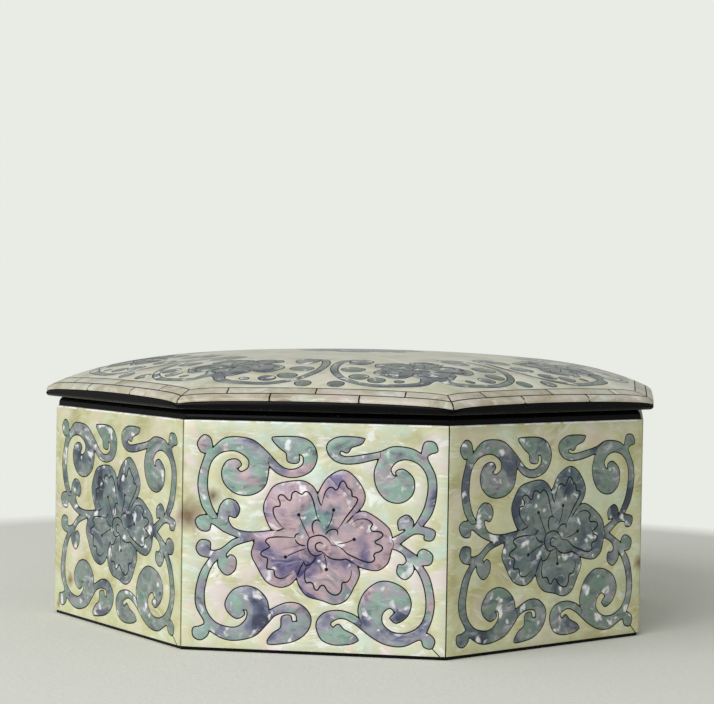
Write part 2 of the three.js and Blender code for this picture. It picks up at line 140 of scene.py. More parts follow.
SCROLL_LOWER_RIGHT = [
    (36.6, 18.2), (38.4, 17.4), (39.1, 16.1), (38.4, 15.3), (37.7, 15.3), (37.6, 13.9),
    (38.9, 13.1), (40.1, 14.4), (40, 15.9), (41.6, 13.4), (42.5, 10.2), (42.4, 7), (41.2, 4.8),
    (39, 3.7), (36.6, 3.9), (35, 5.3), (35, 7.1), (36.3, 8.1), (37.4, 7.3), (36.4, 6.3),
    (37.5, 5.6), (39.2, 6.8), (39.8, 9), (38.8, 11.1), (36.5, 12.3), (34.2, 12.2), (32, 10.4),
    (31, 7.8), (31.3, 5.7), (29.9, 6.6), (27.5, 7.15), (25, 6.6), (23.8, 4.8), (24.6, 2.4),
    (26.7, 1.5), (29.5, 1.7), (30.9, 2.3), (30.2, 3.1), (28.5, 3.9), (27.5, 4.8), (26.6, 4.2),
    (26.1, 5.1), (27.8, 6.05), (30, 5.4), (33.5, 2.9), (36, 1.8), (38.7, 1.7), (41.5, 2.9),
    (42.3, 1.7), (43.5, 1.5), (43.9, 2.8), (42.9, 3.8), (42.3, 3.6), (43.4, 6.5), (43.7, 9.5),
    (42.9, 13.2), (41.5, 15.5), (43, 15.8), (43.3, 17.2), (42, 18.1), (41.1, 17.6), (41, 16.7),
    (39.4, 17.8), (37.7, 18.9),
]
SCROLL_UPPER_RIGHT = [
    (38.1, 19.3), (40.2, 20.8), (42, 20.7), (42.1, 19.9), (43.3, 19.9), (43.6, 21.3),
    (41.5, 22), (43.1, 24.4), (43.8, 27.5), (43.6, 30.6), (42.2, 33.6), (42.9, 34.5),
    (43.9, 34.9), (43.4, 36.2), (41.9, 36.2), (41.3, 34.2), (39.4, 35.1), (36.5, 35.3),
    (34.2, 34.4), (31.3, 33.8), (28.8, 33.4), (27.6, 33.6), (27.2, 34.1), (27.6, 34.6),
    (28.6, 34.3), (29.3, 35.2), (30.9, 35.8), (31.5, 36.6), (29.7, 36.8), (27, 36.7), (25.3, 35.6),
    (25.5, 33.9), (27.2, 32.6), (30, 32.5), (34.2, 33.5), (33.4, 30.9), (33.9, 28.3),
    (35.6, 26.4), (38, 26.1), (39.8, 27.6), (39.9, 30), (38.3, 31.5), (37.1, 31.2), (37.3, 30.4),
    (36.6, 30.4), (36, 31.6), (37.1, 33), (39, 33.4), (41, 32.6), (42.3, 30.8), (42.6, 28.3),
    (42, 25.2), (40.7, 22.6), (39.9, 21.6), (39.9, 23), (38.9, 23.8), (37.6, 22.9), (37.7, 21.4),
    (38.7, 21.6), (38.6, 21), (36.4, 19.7),
]
PETALS_ABOVE = [
    (36.4, 20), (35.8, 21.5), (33.7, 23.2), (31.6, 24.2), (29.9, 23.7), (31.4, 25.6),
    (31.5, 27.6), (29.8, 30.1), (27.8, 31.1), (25.3, 29.7), (23.6, 26.8), (22.6, 28.3),
    (20.6, 29.1), (16.7, 28.4), (15.2, 26.7), (14.4, 24.2), (15.5, 21.2),
]
ARABESQUE = (
    SCROLL_UPPER_LEFT
    + SCROLL_LOWER_LEFT
    + PETALS_BELOW
    + SCROLL_LOWER_RIGHT
    + SCROLL_UPPER_RIGHT
    + PETALS_ABOVE
)

# Lines engraved in the flower: the frilled inner edge of each petal, the fold lines between
# petals and the ring at the centre.
ENGRAVED = [
    [(17.9, 21), (17.2, 21.6), (16.4, 22.6), (16, 23.6), (16, 24.4), (16.5, 24.7), (17.1, 24.8),
     (17.1, 25.5), (16.8, 26.2), (17.1, 26.7), (17.8, 26.6), (18.4, 26), (18.9, 25.8),
     (19.1, 26.3), (19.2, 27), (19.8, 27.4), (20.4, 27.1), (20.9, 26.9), (21.4, 27.35),
     (22, 27.3), (22.6, 26.5), (23, 25.4), (23.3, 24.2), (23.6, 23.1), (24.1, 22.3)],
    [(24.3, 25), (24.6, 26.3), (25, 27.5), (25.6, 28.2), (26.2, 28.2), (26.7, 27.8),
     (27.1, 28.1), (27.4, 28.9), (27.9, 29.4), (28.4, 29), (28.7, 28.3), (29.3, 27.9),
     (29.5, 27.3), (29.6, 26.8), (30.2, 26.7), (30.5, 26.3), (30.2, 25.5), (29.5, 24.5),
     (28.6, 23.3), (27.7, 21.9), (27.1, 21.1)],
    [(29.4, 22.1), (30.1, 22.7), (31, 23), (32, 23), (32.8, 22.6), (33.1, 22.1), (32.8, 21.5),
     (33.1, 21), (34, 21), (34.7, 20.8), (34.9, 20.3), (34.3, 19.7), (33.6, 19.3), (33.8, 18.9),
     (34.6, 18.6), (34.9, 18.1), (34.5, 17.6), (33.7, 17.3), (33.4, 16.9), (33.6, 16.3),
     (33.2, 15.8), (32.4, 15.7), (31.2, 16), (30, 16.5), (28.9, 17), (28, 17.8), (27.1, 18.3),
     (26.1, 18.4)],
    [(24.9, 17), (25.5, 16.4), (26.5, 16), (27.8, 15.95), (28.6, 16.1), (29.5, 15.7),
     (30.5, 15.1)],
    [(21.8, 14.6), (21.6, 13.6), (21.6, 12.5), (21.9, 11.8), (22.6, 11.9), (23.1, 11.5),
     (23.3, 10.8), (23.8, 10.6), (24.3, 11.3), (24.8, 11.5), (25.2, 11.1), (25.6, 10.5),
     (26.3, 10), (27.1, 9.9), (27.7, 10.3), (28, 11), (28, 11.7), (28.2, 12.1), (28.9, 12.2),
     (29.4, 12.8), (29.6, 13.6), (29.6, 14.3)],
    [(21.4, 15.5), (21.6, 14.9), (22, 14.8), (22.7, 15.1), (23.3, 15.9), (23.6, 16.6)],
    [(19.8, 19.4), (18.5, 19.5), (17, 19.5), (15.9, 19.4), (15, 19.1), (14.7, 18.6),
     (15.2, 18.1), (15.4, 17.7), (14.8, 17.3), (14.1, 16.9), (13.9, 16.4), (14.4, 16),
     (15.1, 15.7), (15, 14.1), (15.6, 13.9), (16.2, 13.8), (16.3, 13.3), (16.5, 12.7),
     (17.2, 12.4), (18, 12.5), (18.8, 13), (19.4, 13.3)],
    [(19.7, 19.4), (20, 20), (20.5, 20.2)],
    [(19.8, 19.2), (20.2, 18.6), (20.9, 18.2), (21.7, 18.1)],
    [(23.1, 20.1), (22.8, 21), (22.8, 21.9), (23.2, 22.5), (23.8, 22.6), (24.2, 22.2)],
    [(25, 20.1), (25.6, 20.8), (26.3, 21.1), (27, 21), (27.2, 20.4), (27.1, 20.1)],
    [(26.1, 18.4), (25.9, 18.8), (25.2, 19.6), (24.2, 20), (23, 19.8), (22.2, 19.3), (22, 18.1),
     (22.3, 17.2), (22.9, 16.6), (23.6, 16.45), (24.4, 16.8), (24.9, 17.05)],
    [(24.8, 18.4), (24.4, 18.7), (23.9, 18.75), (23.4, 18.4), (23.4, 17.8), (23.8, 17.3),
     (24.5, 17.2), (24.9, 16.9)],
    [(20.2, 12.8), (20.6, 13.8), (21.4, 15.5)],
    [(23.6, 26.8), (23.9, 25.8), (24.3, 25)],
    [(29.9, 23.7), (29.2, 22.9), (28.6, 22.2)],
    [(16.5, 20.5), (17.2, 20.7), (17.9, 21)],
]
# A stamen is a line from the centre out to a dot.
STAMENS = [
    [(22.4, 19.3), (21.3, 21.4), (20.4, 23.4)],
    [(25.2, 20.9), (26, 22.6), (26.4, 24.4)],
    [(27.1, 18.6), (28.6, 18.9), (30, 19.5)],
    [(24.8, 17), (25.2, 15.6), (25.3, 14.2)],
    [(21.8, 17.7), (20, 17), (18.2, 16.1)],
]
STAMEN_DOT = 0.3
# Butt joints between the pieces of abalone that make one arabesque.
PIECE_JOINTS = [
    [(15.1, 31.8), (14.9, 32.6), (15.3, 33.1)],
    [(34.2, 33.5), (34.3, 33.9), (34.2, 34.4)],
    [(15.4, 6.7), (15.9, 6.2), (15.7, 5.4)],
    [(31.3, 5.7), (31.5, 5.2), (31.2, 4.7)],
    [(12.8, 19), (12.5, 18.6), (12.8, 18.2)],
    [(36.4, 19.7), (36.8, 19), (36.6, 18.2)],
    [(4.7, 22.8), (5.3, 22.3), (6.3, 22.4)],
    [(41.5, 22), (41.1, 22.4), (41, 22.9)],
]
# The saw's way in from the panel's corner to the nearest bud.
SAW_ENTRY = [(43.6, 1.4), (44.3, 0.7), (44.9, 0.1)]
FLOWER_CENTRE = (24.5, 19.5)

# --- Drawing of the lid ---
LID_FLOWER_SCALE = 0.76
LID_FLOWER_RADIUS = 43
# Bulbs beside the vines of the lid, on each half of a side: along it, out from the axis, radius.
LID_BULBS = [(4.6, 42.6, 2.0), (6.3, 47.7, 1.6), (2.9, 51.7, 1.3), (9.6, 49.3, 1.4),
             (13.6, 49.6, 0.7)]
# Where the tiles of a side meet, from the side's middle. The two rows are staggered.
TILE_LENGTH = SIDE_LENGTH / 3
INNER_JOINTS = [-TILE_LENGTH, 0, TILE_LENGTH]
OUTER_JOINTS = [-TILE_LENGTH / 2, TILE_LENGTH / 2]

# --- Stage ---
# In metres, as Blender has them.
FLOOR_RADIUS = 0.17
FLOOR_FADE = 0.02  # width of the rim over which the floor disappears
WALL_COLOUR = (233, 235, 229)
FILL_STRENGTH = 0.56  # how much of the wall's light reaches the box
KEY_PLACE = (-0.43, -0.58, 0.45)
KEY_TARGET = (0, 0, 0.02)
KEY_SIZE = (0.85, 0.75)
KEY_POWER = 5.2
CAMERA_PLACE = (0.0518, -0.3726, 0.0607)
CAMERA_ANGLES = (88.436, -0.898, 8.068)
CAMERA_LENS = 95.33


# --- Outlines ---
CORNER_ANGLE = math.radians(95)  # a sharper turn than this stays a corner


def spline_point(a, b, c, d, t):
    """Point t of the way from b to c on a Catmull-Rom curve."""
    flat = 2 * b + (c - a) * t
    return 0.5 * (flat + (2 * a - 5 * b + 4 * c - d) * t**2 + (3 * b - a - 3 * c + d) * t**3)


def smooth(points, closed=True, step=OUTLINE_STEP):
    """A smooth line through the points, with an even spacing of about one step."""
    p = [np.array(q, float) for q in points]
    count = len(p)

    def is_corner(i):
        if not closed and i in (0, count - 1):
            return True
        before = p[i] - p[i - 1]
        after = p[(i + 1) % count] - p[i]
        cosine = before @ after / (np.linalg.norm(before) * np.linalg.norm(after))
        return math.acos(max(-1, min(1, cosine))) > CORNER_ANGLE

    sharp = [is_corner(i) for i in range(count)]
    line = []
    for i in range(count if closed else count - 1):
        b, c = p[i], p[(i + 1) % count]
        a = 2 * b - c if sharp[i] else p[i - 1]
        d = 2 * c - b if sharp[(i + 1) % count] else p[(i + 2) % count]
        steps = max(1, round(float(np.linalg.norm(c - b)) / step))
        line += [spline_point(a, b, c, d, k / steps) for k in range(steps)]
    if not closed:
        line.append(p[-1])
    return np.array(line)


def outward_normals(loop):
    """Unit normals on the right of the line, which is outwards on an anticlockwise one."""
    edges = np.roll(loop, -1, 0) - loop
    edges /= np.linalg.norm(edges, axis=1)[:, None]
    right = np.stack([edges[:, 1], -edges[:, 0]], 1)
    both = right + np.roll(right, 1, 0)
    return both / np.linalg.norm(both, axis=1)[:, None]


def distance_to(loop, points):
    """Distance from each point to the closed line."""
    start = loop[None]
    edge = np.roll(loop, -1, 0)[None] - start
    best = []
    for chunk in np.array_split(points, max(1, len(points) // 200)):
        away = chunk[:, None] - start
        t = np.clip((away * edge).sum(2) / (edge**2).sum(2), 0, 1)
        best.append(np.linalg.norm(away - t[..., None] * edge, axis=2).min(1))
    return np.concatenate(best)


def grown(loop, distance):
    """The anticlockwise loop moved outwards, without the knots that form in its notches."""
    moved = loop + outward_normals(loop) * distance
    nearly_all = 0.97
    return unknotted(moved[distance_to(loop, moved) > nearly_all * abs(distance)])


def crossing(a, b, c, d):
    """Where the line from a to b crosses the line from c to d, or None."""
    ab, cd, ac = b - a, d - c, c - a
    turn = ab[0] * cd[1] - ab[1] * cd[0]
    parallel = 1e-12
    if abs(turn) < parallel:
        return None
    t = (ac[0] * cd[1] - ac[1] * cd[0]) / turn
    s = (ac[0] * ab[1] - ac[1] * ab[0]) / turn
    return a + ab * t if 0 <= t <= 1 and 0 <= s <= 1 else None


def unknotted(loop, reach=14):
    """The closed line with each knot of up to reach points cut off where the line crosses."""
    points = list(loop)
    i = 0
    while i < len(points):
        n = len(points)
        for k in range(reach, 1, -1):
            j = (i + k) % n
            at = crossing(points[i], points[(i + 1) % n], points[j], points[(j + 1) % n])
            if at is not None:
                gone = {(i + 1 + m) % n for m in range(k)}
                points = [at if m == (i + 1) % n else q for m, q in enumerate(points)
                          if m not in gone or m == (i + 1) % n]
                break
        i += 1
    return np.array(points)


def inside(loop, points):
    """For each point, whether it is inside the closed line."""
    x, y = points[:, 0][:, None], points[:, 1][:, None]
    ax, ay = loop[:, 0][None], loop[:, 1][None]
    bx, by = np.roll(loop, -1, 0)[:, 0][None], np.roll(loop, -1, 0)[:, 1][None]
    spans = (ay > y) != (by > y)
    with np.errstate(divide="ignore", invalid="ignore"):
        left_of = x < (bx - ax) * (y - ay) / (by - ay) + ax
    return (spans & left_of).sum(1) % 2 == 1


def fill_points(loops, spacing):
    """Points of a regular grid in the area between the loops, clear of the loops themselves."""
    low, high = loops[0].min(0), loops[0].max(0)
    clearance = spacing * 0.45
    xs = np.arange(low[0] + spacing / 2, high[0], spacing)
    ys = np.arange(low[1] + spacing / 2, high[1], spacing)
    points = np.stack(np.meshgrid(xs, ys), -1).reshape(-1, 2)
    if not len(points):
        return points
    keep = inside(loops[0], points)
    for loop in loops[1:]:
        near = near_loop(loop, points, 0)
        keep[near] &= ~inside(loop, points[near])
    for loop in loops:
        near = near_loop(loop, points, spacing)
        if near.any():
            keep[near] &= distance_to(loop, points[near]) > clearance
    return points[keep]


def near_loop(loop, points, reach):
    """For each point, whether it is in the loop's box or within reach of it."""
    return ((points > loop.min(0) - reach) & (points < loop.max(0) + reach)).all(1)


# --- Meshes ---
def triangles(loops, extra):
    """Triangles over the area between the loops, as indices into the loops' points and extra.
    That area is on the left of every loop, so it is flooded from the triangles there."""
    coords = [Vector(p) for loop in loops for p in loop] + [Vector(p) for p in extra]
    edges = []
    start = 0
    for loop in loops:
        n = len(loop)
        edges += [(start + i, start + (i + 1) % n) for i in range(n)]
        start += n
    all_triangles, tolerance = 0, 1e-7
    made = geometry.delaunay_2d_cdt(coords, edges, [], all_triangles, tolerance)
    own = [sources[0] if sources else None for sources in made[3]]
    if len(made[0]) != len(coords) or None in own:
        raise ValueError(f"an outline crosses itself: {len(coords)} to {len(made[0])}")
    faces = [[own[i] for i in face] for face in made[2]]
    by_side = {side: index for index, face in enumerate(faces)
               for side in zip(face, face[1:] + face[:1])}
    cuts = set(edges)
    waiting = [by_side[side] for side in edges]
    kept = set(waiting)
    while waiting:
        face = faces[waiting.pop()]
        for a, b in zip(face, face[1:] + face[:1]):
            beyond = by_side.get((b, a))
            if beyond is None or beyond in kept or (a, b) in cuts or (b, a) in cuts:
                continue
            kept.add(beyond)
            waiting.append(beyond)
    return [faces[index] for index in sorted(kept)]


def plate_mesh(loops, place, thickness, bevels, spacing=None):
    """Vertices and faces of a closed plate. The loops bound its flat face: the first is
    anticlockwise, and the others are clockwise holes. Each edge falls away past its loop by
    its bevel. place(u, v, depth) puts a point below the outer face."""
    ring_shape = ((0, 0), (0.7, 0.3), (1, 1))  # (distance out, depth) of each ring, in bevels
    rings = []
    for out, deep in ring_shape:
        rings.append([(lp + outward_normals(lp) * b * out, b * deep)
                      for lp, b in zip(loops, bevels)])
    rings.append([(lp, thickness) for lp, _ in rings[-1]])
    outline = [lp for lp, _ in rings[-1]]
    extra = fill_points(outline, spacing) if spacing else np.zeros((0, 2))
    verts = []
    for ring in rings:
        for lp, deep in ring:
            verts += [place(u, v, deep) for u, v in lp]
    size = sum(len(lp) for lp in loops)
    tail = len(verts)
    verts += [place(u, v, 0) for u, v in extra]
    verts += [place(u, v, thickness) for u, v in extra]

    def placed(index, ring, lower):
        if index < size:
            return ring * size + index
        return tail + (index - size) + (len(extra) if lower else 0)

    last = len(rings) - 1
    faces = [[placed(i, 0, False) for i in f] for f in triangles([lp for lp, _ in rings[0]], extra)]
    faces += [[placed(i, last, True) for i in reversed(f)] for f in triangles(outline, extra)]
    for ring in range(last):
        start = 0
        for lp in loops:
            n = len(lp)
            for i in range(n):
                a, b = start + i, start + (i + 1) % n
                faces.append([ring * size + b, ring * size + a,
                              (ring + 1) * size + a, (ring + 1) * size + b])
            start += n
    return verts, faces


def ribbon_mesh(points, width, place, proud=LINE_PROUD, taper=True):
    """Vertices and faces of a thin lacquer line along an open line. A tapered one swells to its
    whole width over the first sixth of its length, and narrows over the last."""
    heading = np.gradient(points, axis=0)
    heading /= np.linalg.norm(heading, axis=1)[:, None]
    normal = np.stack([-heading[:, 1], heading[:, 0]], 1)
    count = len(points)
    along = np.linspace(0, 1, count)
    swell = 0.35 + 0.65 * np.clip(6 * np.minimum(along, 1 - along), 0, 1) if taper else 1
    half = (width / 2 * swell * np.ones(count))[:, None]
    section = ((1, 0), (0, -proud), (-1, 0), (-1, LINE_DEPTH), (1, LINE_DEPTH))
    verts = []
    for p, h, n in zip(points, half, normal):
        for side, depth in section:
            verts.append(place(*(p + n * h * side), depth))
    ring = len(section)
    faces = [list(range(ring)), list(range((count - 1) * ring, count * ring))[::-1]]
    for i in range(count - 1):
        for k in range(ring):
            a, b = i * ring + k, i * ring + (k + 1) % ring
            faces.append([a, a + ring, b + ring, b])
    return verts, faces


def joined(parts):
    """One list of vertices and one of faces from several."""
    verts, faces = [], []
    for part_verts, part_faces in parts:
        start = len(verts)
        verts += part_verts
        faces += [[i + start for i in face] for face in part_faces]
    return verts, faces


SHARP_ANGLE = math.radians(35)  # shading breaks at edges sharper than this


def piece(name, mesh_data, material, body, nodes=()):
    """A finished piece that rides on a body and stands for the CAD nodes named."""
    verts, faces = mesh_data
    mesh = bpy.data.meshes.new(name)
    mesh.from_pydata([Vector(v) * MM for v in verts], [], faces)
    mesh.validate()
    mesh.shade_smooth()
    mesh.set_sharp_from_angle(angle=SHARP_ANGLE)
    mesh.materials.append(material)
    obj = bpy.data.objects.new(name, mesh)
    bpy.context.scene.collection.objects.link(obj)
    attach(obj, body)
    if nodes:
        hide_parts(*nodes)
    return obj


# --- Where things go ---
WANDER_SEED = 1  # Blender seeds its noise from the clock unless told otherwise
noise.seed_set(WANDER_SEED)


def side_place(side):
    """place(u, v, depth) for a side panel. Each side but the front one is drawn by hand again,
    so its arabesque differs a little."""
    spin = Matrix.Rotation(side * TURN, 3, "Z")
    wander = 0.0 if side == 0 else WANDER
    settled = 1.5  # within this distance of the panel's edge the drawing strays less
    apart = 7.3  # puts each side in another part of the noise

    def place(u, v, depth):
        edge = min(u, SIDE_LENGTH - u, v, PANEL_HEIGHT - v)
        free = max(0.0, min(1.0, edge / settled)) * wander
        at = Vector((u / WANDER_LENGTH, v / WANDER_LENGTH, side * apart))
        shift = noise.noise_vector(at) * free
        x = u + shift.x - SIDE_LENGTH / 2
        limit = (BODY_APOTHEM - depth) * MITRE - CORNER_LINE / 2
        x = max(-limit, min(limit, x))
        return spin @ Vector((x, depth - BODY_APOTHEM, PANEL_BOTTOM + v + shift.y))

    return place


def dome(x, y):
    """Height of the lid's shell over a point of the plan."""
    total = 0.0
    for k in range(SIDES):
        reach = (x * math.cos(k * TURN) + y * math.sin(k * TURN)) / LID_APOTHEM
        total += max(0.0, reach) ** CORNER_SOFTNESS
    octagonal = total ** (1 / CORNER_SOFTNESS)
    fall = ROUND_DROP * (x * x + y * y) / LID_APOTHEM**2
    return DOME_TOP - fall - OCTAGON_DROP * octagonal**OCTAGON_POWER


def apothem_of(x, y):
    """Distance of a point of the plan from the axis, square to the nearest side."""
    return max(x * math.cos(k * TURN) + y * math.sin(k * TURN) for k in range(SIDES))


def lid_place(x, y, depth):
    """The point of the lid's shell over a point of the plan, at a depth below its surface."""
    past = max(0.0, (apothem_of(x, y) - LID_APOTHEM + EDGE_ROUND) / EDGE_ROUND)
    return Vector((x, y, dome(x, y) - depth - EDGE_ROUND_DROP * past**2))


# --- Materials ---
def linear(red, green, blue):
    """Linear colour from 0 to 255 display values."""
    def one(value):
        v = value / 255
        return v / 12.92 if v <= 0.04045 else ((v + 0.055) / 1.055) ** 2.4
    return (one(red), one(green), one(blue), 1.0)


class Graph:
    """A material's node tree, built up from its texture coordinates."""

    def __init__(self, name):
        self.material = bpy.data.materials.new(name)
        self.material.use_nodes = True
        self.tree = self.material.node_tree
        self.shader = self.tree.nodes["Principled BSDF"]
        self.coords = self.add("ShaderNodeTexCoord").outputs["Object"]

    def add(self, kind, inputs=None, **settings):
        """A new node with its settings made and its inputs fed."""
        node = self.tree.nodes.new(kind)
        for key, value in settings.items():
            setattr(node, key, value)
        for key, value in (inputs or {}).items():
            self.feed(value, node.inputs[key])
        return node

    def feed(self, value, socket):
        """Link the value to the socket, or set it there if it is a constant."""
        if isinstance(value, bpy.types.NodeSocket):
            self.tree.links.new(value, socket)
        else:
            socket.default_value = value

    def set(self, **inputs):
        """Feed the inputs of the material's shader."""
        for key, value in inputs.items():
            self.feed(value, self.shader.inputs[key.replace("_", " ")])

    def shifted(self, vector, location=(0, 0, 0), scale=(1, 1, 1)):
        """The coordinates moved and stretched."""
        inputs = {"Vector": vector, "Location": location, "Scale": scale}
        return self.add("ShaderNodeMapping", inputs).outputs["Vector"]

    def flowing(self, vector, scale, reach):
        """The coordinates pushed about by a slow noise, over about that reach in metres."""
        push = self.noise(vector, scale, 2).outputs["Color"]
        centred = self.add("ShaderNodeVectorMath", {0: push, 1: (0.5, 0.5, 0.5)},
                           operation="SUBTRACT").outputs[0]
        return self.add("ShaderNodeVectorMath", {0: centred, 1: (reach,) * 3, 2: vector},
                        operation="MULTIPLY_ADD").outputs[0]

    def noise(self, vector, scale, detail=3, roughness=0.5, distortion=0.0):
        inputs = {"Vector": vector, "Scale": scale, "Detail": detail,
                  "Roughness": roughness, "Distortion": distortion}
        return self.add("ShaderNodeTexNoise", inputs)

    def ramp(self, value, stops):
        """The colour at a value, blended between (position, colour) stops."""
        node = self.add("ShaderNodeValToRGB", {"Fac": value})
        elements = node.color_ramp.elements
        while len(elements) < len(stops):
            elements.new(0.5)
        for element, (position, colour) in zip(elements, stops):
            element.position = position
            element.color = colour
        return node.outputs["Color"]

    def mapped(self, value, low, high, out_low, out_high):
        """The value's place between low and high, as a place between the other two."""
        inputs = {"Value": value, "From Min": low, "From Max": high,
                  "To Min": out_low, "To Max": out_high}
        return self.add("ShaderNodeMapRange", inputs).outputs["Result"]

    def mix(self, factor, a, b, blend="MIX"):
        node = self.add("ShaderNodeMix", data_type="RGBA", blend_type=blend)
        for index, value in ((0, factor), (6, a), (7, b)):
            self.feed(value, node.inputs[index])
        return node.outputs[2]

    def math(self, operation, a, b):
        return self.add("ShaderNodeMath", {0: a, 1: b}, operation=operation).outputs[0]

    def bump(self, height, distance, strength=1.0, under=None):
        """The normal of a relief of that many millimetres, on top of another relief."""
        inputs = {"Height": height, "Distance": distance * MM, "Strength": strength}
        if under is not None:
            inputs["Normal"] = under
        return self.add("ShaderNodeBump", inputs).outputs["Normal"]


def lacquer(name, base=(8, 7, 9), roughness=0.2):
    """Black lacquer with fine dust, faint rubbing marks and a slow ripple."""
    g = Graph(name)
    dust = g.noise(g.coords, 2600, 2).outputs["Fac"]
    rubbed = g.noise(g.shifted(g.coords, scale=(1, 1, 5)), 130, 4, 0.6, 0.4).outputs["Fac"]
    ripple = g.noise(g.coords, 90, 2).outputs["Fac"]
    specks = g.ramp(dust, [(0.0, (0, 0, 0, 1)), (0.7, (0, 0, 0, 1)), (0.78, (1, 1, 1, 1))])
    dusty = g.mix(specks, linear(*base), linear(84, 80, 76))
    normal = g.bump(dust, 0.004, under=g.bump(ripple, 0.05))
    g.set(Base_Color=dusty, Roughness=g.mapped(rubbed, 0.3, 0.75, roughness, roughness + 0.16),
          Specular_IOR_Level=0.08, Coat_Weight=0.07, Coat_Roughness=0.08, Normal=normal)
    return g.material


def side_point(side, u, v):
    """A point on the outer face of a side panel."""
    return side_place(side)(u, v, 0)


# Brown stains on the pale shell: centre and radius.
STAINS = [
    (side_point(0, 0.8, 22.5), 3.0),
    (side_point(0, 5.4, 26.2), 1.7),
    (side_point(1, 45.6, 13), 1.8),
    (side_point(7, 6.5, 6.5), 1.6),
    (side_point(7, 2.0, 1.2), 1.2),
    (side_point(3, 44.8, 30), 1.9),
    (side_point(5, 1.2, 9), 1.6),
]


def pearl(name, seed, tones, glints, coat=0.3, stains_and_lit_edge=False):
    """Pale mother-of-pearl: clouds of cream, green and pink, growth lines, and painted glints and
    painted pink and green iridescent sheen of that strength. The shell of the sides has its stains
    and a painted highlight along its top edge."""
    g = Graph(name)
    at = g.shifted(g.coords, location=(seed * 0.37, seed * 0.21, seed * 0.13))
    flow = g.flowing(at, 70, 0.012)
    cloud = g.noise(flow, 150, 5, 0.55).outputs["Fac"]
    base = g.ramp(cloud, [(0.34, linear(*tones[0])), (0.46, linear(*tones[1])),
                          (0.55, linear(*tones[2])), (0.68, linear(*tones[3]))])
    lines = g.noise(g.shifted(flow, scale=(1, 1, 5)), 240, 4, 0.6).outputs["Fac"]
    base = g.mix(g.mapped(lines, 0.5, 0.72, 0.0, 0.5), base, linear(*tones[4]))
    # painted glints: short white streaks in the base colour
    streaks = g.noise(g.shifted(flow, location=(0.3, 0.1, 0.2), scale=(1, 1, 3)), 330, 3, 0.55)
    where = g.noise(at, 95, 2).outputs["Fac"]
    streak = g.math("ADD", streaks.outputs["Fac"], g.mapped(where, 0.3, 0.7, -0.09, 0.09))
    base = g.mix(g.mapped(streak, 0.59, 0.68, 0.0, glints), base, linear(250, 252, 250))
    # painted iridescent sheen: pink and green flashes in the base colour, scaled with the glints
    iridescent_sheen = g.noise(g.shifted(flow, location=(0.5, 0.2, 0.4)), 120, 3, 0.6).outputs["Fac"]
    base = g.mix(g.mapped(iridescent_sheen, 0.55, 0.65, 0.0, 0.75 * glints), base, linear(246, 228, 236))
    base = g.mix(g.mapped(iridescent_sheen, 0.45, 0.36, 0.0, 0.75 * glints), base, linear(214, 238, 228))
    grime = g.noise(g.coords, 700, 6, 0.75).outputs["Fac"]
    base = g.mix(g.mapped(grime, 0.6, 0.8, 0.0, 0.4), base, linear(150, 140, 104))
    if stains_and_lit_edge:
        for centre, radius in STAINS:
            away = g.add("ShaderNodeVectorMath", {0: g.coords, 1: centre * MM},
                         operation="DISTANCE").outputs["Value"]
            edge = g.math("ADD", away, g.mapped(cloud, 0.3, 0.7, -0.8 * MM, 0.8 * MM))
            amount = g.mapped(edge, radius * MM, 0.15 * radius * MM, 0.0, 0.85)
            base = g.mix(amount, base, linear(112, 72, 40))
        # painted highlight: a broken white line along the side panels' top edge
        base = painted_arris_highlight(g, base, streaks.outputs["Fac"])
    normal = g.bump(lines, 0.04, 0.6, under=g.bump(cloud, 0.16, 0.5))
    g.set(Base_Color=base, Metallic=0.08, Normal=normal,
          Roughness=g.mapped(cloud, 0.35, 0.68, 0.28, 0.5), Coat_Weight=coat,
          Coat_Roughness=0.08, Coat_IOR=1.5, Specular_IOR_Level=0.35)
    return g.material


def painted_arris_highlight(g, base, breaks):
    """The base colour with a painted highlight: a broken white line along the top edge of the side
    panels, where the arris would catch the light.
    """
    height = g.add("ShaderNodeSeparateXYZ", {"Vector": g.coords}).outputs["Z"]
    top = PANEL_BOTTOM + PANEL_HEIGHT
    near_top = g.mapped(height, (top - 0.4) * MM, (top - 0.25) * MM, 0.0, 1.0)
    highlight_mask = g.math("MULTIPLY", near_top, g.mapped(breaks, 0.42, 0.52, 0.0, 1.0))
    return g.mix(highlight_mask, base, linear(255, 255, 252))


FLOWER_REACH = 13  # a flower's radius on a side panel


